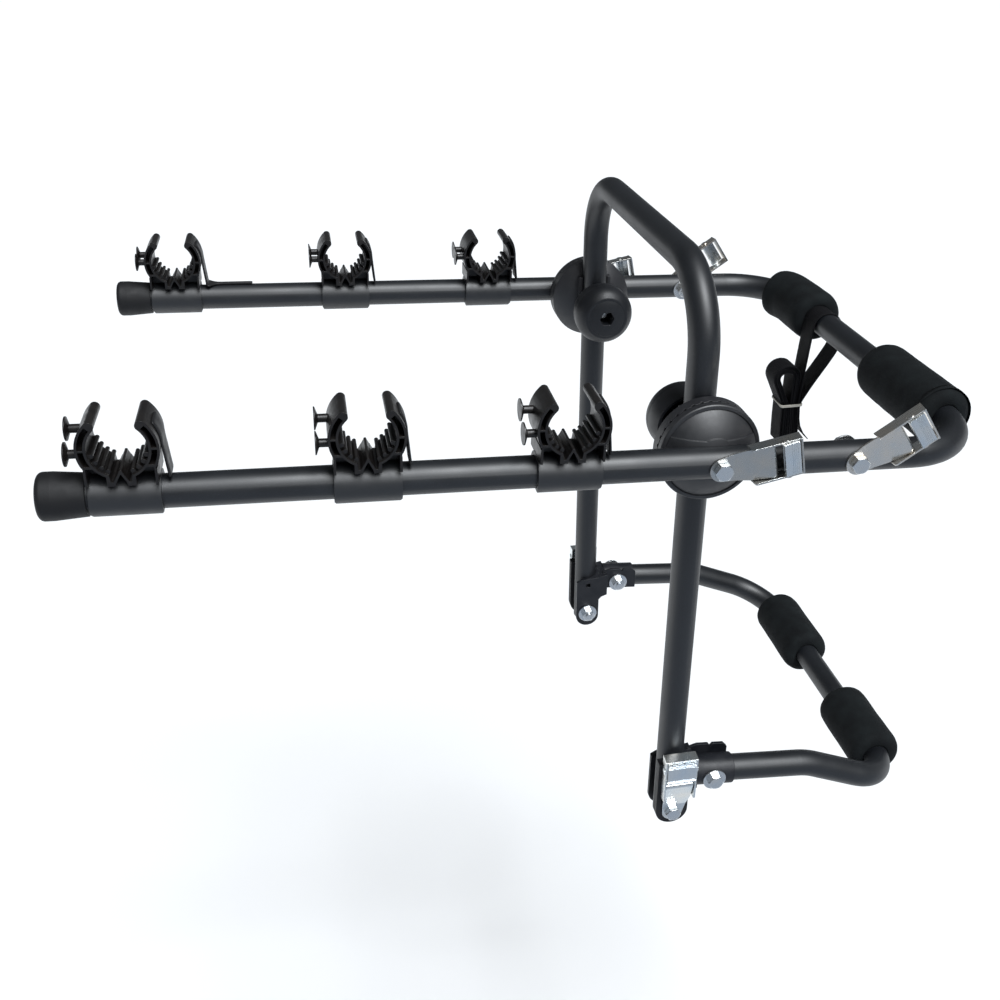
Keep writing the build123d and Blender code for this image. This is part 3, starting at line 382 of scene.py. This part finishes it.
def keep_piece(name, shaping, body):
    """Turn a finished shape into a smooth piece that rides on a body."""
    mesh = bpy.data.meshes.new(name)
    shaping.to_mesh(mesh)
    shaping.free()
    mesh.shade_smooth()
    piece = bpy.data.objects.new(name, mesh)
    bpy.context.scene.collection.objects.link(piece)
    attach(piece, body)
    return piece


tilt = radians(2.5)
dip = radians(5.2)
arm_dir = Vector((cos(tilt), 0, -sin(tilt)))
near = Vector((0, -1, 0))
far = Vector((0, 1, 0))
foam_radius = 0.0268
foam_round = 0.012
foam_pace = 0.006
foam_dent = 0.0004
foam_end = [
    (0.0125, 0.0040), (0.0125, 0.0008), (0.0145, 0), (0.0195, 0.0002), (0.0228, 0.0015),
    (0.0252, 0.0038), (0.0264, 0.0074), (foam_radius, foam_round),
]


def foam_sleeve(name, bar, side, start, bend, back, turn, corner, body):
    """Sleeve on a crossbar from start to turn, then bend degrees round the tube's corner."""
    first = bar + side * start
    centre = bar + side * turn + back * corner
    axis = side.cross(back).normalized()
    swing = Matrix.Rotation(radians(bend), 3, axis)
    heading = swing @ side
    last = centre + swing @ (-back * corner)
    shaping = bmesh.new()
    ring = bmesh.ops.create_circle(
        shaping,
        segments=48,
        radius=foam_end[0][0],
        matrix=Matrix.Translation(first + side * foam_end[0][1]) @ Matrix.Rotation(radians(90), 4, "X"),
    )
    row = list({edge for vert in ring["verts"] for edge in vert.link_edges})
    moves = lip_moves(first, side, foam_end)
    moves += straight_moves(side * (turn - start - foam_round), foam_pace)
    swept = radians(bend) - foam_round / corner
    moves += arc_moves(centre, axis, swept, max(2, round(bend / 3)))
    tip = [(radius, foam_round - along) for radius, along in reversed(foam_end)]
    joint = centre + Matrix.Rotation(swept, 3, axis) @ (-back * corner)
    for (radius, along), (wider, further) in zip(tip, tip[1:]):
        here = joint.lerp(last, along / foam_round)
        there = joint.lerp(last, further / foam_round)
        middle = Matrix.Translation(here)
        grow = middle @ Matrix.Scale(wider / radius, 4) @ middle.inverted()
        moves.append(Matrix.Translation(there - here) @ grow)
    for move in moves:
        row = draw_out(shaping, row, move)
    bmesh.ops.recalc_face_normals(shaping, faces=shaping.faces)
    for vert in shaping.verts:
        press = noise.noise(vert.co * 38) + 0.5 * noise.noise(vert.co * 110)
        vert.co -= vert.normal * foam_dent * (press + 0.5)
    sleeve = keep_piece(name, shaping, body)
    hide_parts(name.replace("foam", "pad"))
    return sleeve


upper_bar = arm_dir * 0.226
upper_turn, upper_corner = 0.1555, 0.062
lower_bend_x, lower_axis_z = 0.140, -0.3556
lower_bend = Vector((lower_bend_x, 0, lower_axis_z - lower_bend_x * tan(dip)))
lower_bar = Vector((0.242, 0, -0.412))
lower_back = (lower_bend - lower_bar).normalized()
lower_turn, lower_corner = 0.1238, 0.052
upper_frame = (-arm_dir, upper_turn, upper_corner, "carrying_frame")
lower_frame = (lower_back, lower_turn, lower_corner, "lower_frame")
foam_sleeves = [
    foam_sleeve("upper_foam_near", upper_bar, near, 0.042, 5, *upper_frame),
    foam_sleeve("upper_foam_far", upper_bar, far, 0.098, 32, *upper_frame),
    foam_sleeve("lower_foam_near", lower_bar, near, 0.048, 16, *lower_frame),
    foam_sleeve("lower_foam_far", lower_bar, far, 0.042, 16, *lower_frame),
]
foam = new_finish("foam", (0.007, 0.008, 0.009), 0.85, gloss=0.2)
foam_skin = spread(foam, grain(foam, 0.016, 4), 0, 1)
to_shader(foam, "Base Color", mottle(foam, foam_skin, (0.005, 0.006, 0.007), (0.010, 0.013, 0.014)))
foam_place = add_node(foam, "ShaderNodeTexCoord", {})
cells = add_node(foam, "ShaderNodeTexVoronoi", {"Vector": foam_place.outputs["Object"], "Scale": 1100})
relief(foam, cells.outputs["Distance"], 0.00022)
wear_finish(*foam_sleeves, finish=foam)

# Rubber straps: each is moulded on the car side of its cradle and, with a bicycle on, goes
# over the top tube to the two pegs. They hang loose, and the far outer one's narrow pull tab
# lies on its arm.
seat_height = 0.0419
hoop_radius = 0.0297
strap_half_width = 0.010
strap_thick = 0.0023
strap_holes = (0.009, 0.020)
hole_radius = 0.0034
hole_gap = 0.0045
first_row = 0.0035
row_pace = 0.0055
last_row = first_row + 4 * row_pace
tab_share = 0.63
tab_taper, tab_length = 0.009, 0.035
seat_middle = Vector((0, 0, seat_height))
strap_down = Vector((0.0030, 0, -0.0273)).normalized()
strap_out = Vector((-strap_down.z, 0, strap_down.x))
strap_top = Vector((hoop_radius, 0, seat_height)) - strap_out * 0.0012
strap_rise = radians(35)
strap_root = seat_middle + Matrix.Rotation(-strap_rise, 3, "Y") @ (strap_top - seat_middle)
strap_rubber = new_finish("strap_rubber", (0.014, 0.014, 0.015), 0.5, gloss=0.4)
to_shader(strap_rubber, "Roughness", spread(strap_rubber, grain(strap_rubber, 0.008, 3), 0.42, 0.58))
relief(strap_rubber, grain(strap_rubber, 0.0011, 3), 0.00004)


def hang_strap(name, place, node, has_tail):
    """Strip with two rimmed holes, drawn with X along the arm and Z up, then put in place."""
    strip = bmesh.new()
    columns = [strap_half_width * share for share in (-1, -0.5, 0, 0.5, 1)]
    across = [strip.verts.new(strap_root + Vector((0, column, 0))) for column in columns]
    row = [strip.edges.new(pair) for pair in zip(across, across[1:])]
    moves = arc_moves(seat_middle, Vector((0, 1, 0)), strap_rise, 8)
    moves += straight_moves(strap_down * first_row, first_row)
    moves += straight_moves(strap_down * 4 * row_pace, row_pace)
    if has_tail:
        elbow = strap_top + strap_down * last_row + strap_out * 0.0024
        moves += arc_moves(elbow, Vector((0, -1, 0)), strap_down.angle(Vector((1, 0, 0))), 5)
        narrow = Matrix.Scale(tab_share, 4, Vector((0, 1, 0)))
        moves += [move @ narrow for move in straight_moves(Vector((tab_taper, 0, 0)), 0.003)]
        moves += straight_moves(Vector((tab_length, 0, 0)), 0.005)
    else:
        moves += straight_moves(strap_down * 0.00196, 0.002)
    for move in moves:
        row = draw_out(strip, row, move)
    hem = {vert for edge in row for vert in edge.verts}
    half_width = max(vert.co.y for vert in hem)
    bmesh.ops.bevel(
        strip,
        geom=[vert for vert in hem if abs(vert.co.y) > 0.99 * half_width],
        offset=0.35 * half_width,
        offset_type="OFFSET",
        segments=3,
        profile=0.5,
        affect="VERTICES",
        material=-1,
    )
    for depth in strap_holes:
        middle = strap_top + strap_down * depth
        gone = {face for face in strip.faces if (face.calc_center_median() - middle).length < hole_gap}
        rim = list({edge for face in gone for edge in face.edges if not gone.issuperset(edge.link_faces)})
        bmesh.ops.delete(strip, geom=list(gone), context="FACES")
        lies = Matrix.Translation(middle) @ strap_out.to_track_quat("Z", "Y").to_matrix().to_4x4()
        bore = bmesh.ops.create_circle(strip, segments=8, radius=hole_radius, matrix=lies)
        edges = list({edge for vert in bore["verts"] for edge in vert.link_edges})
        bmesh.ops.bridge_loops(strip, edges=rim + edges)
    bmesh.ops.recalc_face_normals(strip, faces=strip.faces)
    bmesh.ops.transform(strip, matrix=place, verts=strip.verts)
    strap = keep_piece(name, strip, "carrying_frame")
    thickness = strap.modifiers.new("thickness", "SOLIDIFY")
    thickness.thickness = strap_thick
    thickness.offset = 0
    rounding = strap.modifiers.new("rounding", "SUBSURF")
    rounding.levels = 2
    rounding.render_levels = 2
    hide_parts(node)
    wear_finish(strap, finish=strap_rubber)


arm_y = 0.2175
cradle_rows = (("near", near, (-0.4400, -0.2705, -0.1200)), ("far", far, (-0.4383, -0.2640, -0.1100)))
for side, outward, stations in cradle_rows:
    for number, station in enumerate(stations, 1):
        on_arm = Matrix.Translation(arm_dir * station + outward * arm_y) @ Matrix.Rotation(tilt, 4, "Y")
        hang_strap(f"strap_{side}_{number}", on_arm, f"straps_{side}", (side, number) == ("far", 1))

# Tie-up webbing: one length of 25 mm ribbed polyester web, looped over the upper crossbar,
# its spare length folded to and fro in a bundle and held by a rubber band.
web_width = 0.025
web_thick = 0.0014
web_y = 0.084
web_pace = 0.005
wrap_radius = 0.0128 + web_thick / 2
band_x, band_z = 0.1958, -0.096
low_x, low_z = 0.198, -0.128
fold_depths = (-0.138, -0.142, -0.136, -0.140, -0.134)
tail_end = (0.2195, -0.138)
middle_lane = 5.5
lane_pitch, lane_fan = 0.00205, 0.0003
crown_top, crown_radius, crown_drop = -0.051, 0.0140, 0.0026
crown_right, crown_left = 0.203, 0.1655
cloth_thick = 0.0012
sway, drift = 0.0009, 0.0012


def web_lane(number, height):
    """Point on a lane of the bundle, where lanes fan out below the rubber band."""
    share = min(max((band_z - height) / (band_z - low_z), 0), 2)
    pitch = lane_pitch + lane_fan * share
    return (band_x + (low_x - band_x) * share + (number - middle_lane) * pitch, height)


web_turns = [
    (web_lane(10, low_z), 0.040),
    (web_lane(10, band_z), 0.016),
    ((upper_bar.x + wrap_radius, upper_bar.z - 0.026), 0.018),
    ((upper_bar.x + wrap_radius, upper_bar.z + wrap_radius), wrap_radius),
    ((upper_bar.x - wrap_radius, upper_bar.z + wrap_radius), wrap_radius),
    (web_lane(9, band_z), 0.060),
]
down, up = 9, 8
for loop in range(4):
    depth = fold_depths[loop]
    fold = abs(web_lane(down, depth)[0] - web_lane(up, depth)[0]) / 2
    top = crown_top - crown_drop * loop
    crown = [(crown_right - 0.0022 * loop, top), (crown_left + 0.0036 * loop, top)]
    if up <= 5:
        crown.reverse()
    web_turns += [(web_lane(down, depth), fold), (web_lane(up, depth), fold)]
    web_turns.append((web_lane(up, band_z), 0.020))
    web_turns += [(point, crown_radius - crown_drop * loop) for point in crown]
    down = 9 - up
    web_turns.append((web_lane(down, band_z), 0.020))
    up = down + 1 if down < 5 else down - 1
web_corners = [tail_end, *[point for point, radius in web_turns], web_lane(down, fold_depths[4])]
web_points = [Vector((x, web_y, z)) for x, z in web_corners]

folding = bmesh.new()
woven = folding.loops.layers.uv.new("weave")
along = folding.verts.layers.float.new("along")
web_columns = [web_width * (step / 6 - 0.5) for step in range(7)]
web_edge = [folding.verts.new(web_points[0] + Vector((0, column, 0))) for column in web_columns]
web_row = [folding.edges.new(pair) for pair in zip(web_edge, web_edge[1:])]
web_moves = []
start = web_points[0]
for before, corner, after, (point, radius) in zip(web_points, web_points[1:], web_points[2:], web_turns):
    back = (before - corner).normalized()
    ahead = (after - corner).normalized()
    half = back.angle(ahead) / 2
    centre = corner + (back + ahead).normalized() * (radius / sin(half))
    web_moves += straight_moves(corner + back * (radius / tan(half)) - start, web_pace)
    turned = pi - 2 * half
    pivot = ahead.cross(back).normalized()
    web_moves += arc_moves(centre, pivot, turned, max(3, round(turned / radians(15))))
    start = corner + ahead * (radius / tan(half))
web_moves += straight_moves(web_points[-1] - start, web_pace)
web_length = 0.0
web_middle = web_points[0].copy()
for move in web_moves:
    moved = move @ web_middle
    web_length += (moved - web_middle).length
    web_middle = moved
    web_row = draw_out(folding, web_row, move)
    for vert in {vert for edge in web_row for vert in edge.verts}:
        vert[along] = web_length
for face in folding.faces:
    for loop in face.loops:
        loop[woven].uv = (loop.vert.co.y - web_y, loop.vert[along])
for vert in folding.verts:
    wander = noise.noise(Vector((vert[along] * 30, 0.5, 0)))
    vert.co.y += sway * sin(vert[along] * 41) + drift * wander
webbing = keep_piece("webbing_folded", folding, "carrying_frame")
web_body = webbing.modifiers.new("thickness", "SOLIDIFY")
web_body.thickness = cloth_thick
web_body.offset = 0
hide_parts("webbing")
web_fabric = new_finish("web_fabric", (0.005, 0.005, 0.006), 0.75, gloss=0.2)
weave_map = add_node(web_fabric, "ShaderNodeUVMap", {}, uv_map="weave")
ribs = add_node(
    web_fabric, "ShaderNodeTexWave", {"Vector": weave_map.outputs["UV"], "Scale": 157.0}, bands_direction="Y"
)
threads = add_node(
    web_fabric, "ShaderNodeTexWave", {"Vector": weave_map.outputs["UV"], "Scale": 350.0}, bands_direction="X"
)
weave = add_node(
    web_fabric, "ShaderNodeMath", {0: ribs.outputs["Fac"], 1: threads.outputs["Fac"]}, operation="MULTIPLY"
)
# Painted shade and highlight: the web's colour is darker in the grooves between ribs and threads and lighter
# on the raised yarn, where light falls.
groove_shade_share = spread(web_fabric, weave.outputs[0], 0, 1, 0, 0.8)
weave_colour_painted_shade = mottle(web_fabric, groove_shade_share, (0.002, 0.002, 0.003), (0.008, 0.008, 0.010))
to_shader(web_fabric, "Base Color", weave_colour_painted_shade)
relief(web_fabric, weave.outputs[0], 0.0004)
wear_finish(webbing, finish=web_fabric)

# Rubber band round the bundle: a plain pale band wound twice, a little lower in front than
# behind, its two windings crossing at the sides.
low_corner, high_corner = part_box("rubber_band")
band_middle = (low_corner + high_corner) / 2
band_radius = 0.0008
band_bend = 0.0022
band_half = (high_corner - low_corner) / 2 - Vector((band_radius, band_radius, 0))
winding = bmesh.new()
for lean in (5, -1):
    heading = Vector((1, 0, 0))
    at = band_middle + Vector((band_bend - band_half.x, -band_half.y, 0))
    first_ring = bmesh.ops.create_circle(
        winding,
        segments=8,
        radius=band_radius,
        matrix=Matrix.Translation(at) @ Matrix.Rotation(radians(90), 4, "Y"),
    )
    row = list({edge for vert in first_ring["verts"] for edge in vert.link_edges})
    moves = []
    for run in (band_half.x, band_half.y, band_half.x, band_half.y):
        moves += straight_moves(heading * 2 * (run - band_bend), 0.003)
        at = at + heading * 2 * (run - band_bend)
        inward = Vector((-heading.y, heading.x, 0))
        moves += arc_moves(at + inward * band_bend, Vector((0, 0, 1)), radians(90), 4)
        at = at + (heading + inward) * band_bend
        heading = inward
    wound = set(first_ring["verts"])
    for move in moves:
        row = draw_out(winding, row, move)
        wound.update(vert for edge in row for vert in edge.verts)
    leans = Matrix.Rotation(radians(lean), 4, "X")
    there = Matrix.Translation(band_middle)
    bmesh.ops.transform(winding, matrix=there @ leans @ there.inverted(), verts=list(wound))
bmesh.ops.remove_doubles(winding, verts=winding.verts, dist=0.00002)
bmesh.ops.recalc_face_normals(winding, faces=winding.faces)
rubber_band = keep_piece("rubber_band_wound", winding, "carrying_frame")
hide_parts("rubber_band")
band_rubber = new_finish("band_rubber", (0.62, 0.58, 0.50), 0.55, gloss=0.4)
band_tint = spread(band_rubber, grain(band_rubber, 0.004, 2), 0, 1)
to_shader(band_rubber, "Base Color", mottle(band_rubber, band_tint, (0.56, 0.52, 0.44), (0.68, 0.65, 0.58)))
wear_finish(rubber_band, finish=band_rubber)
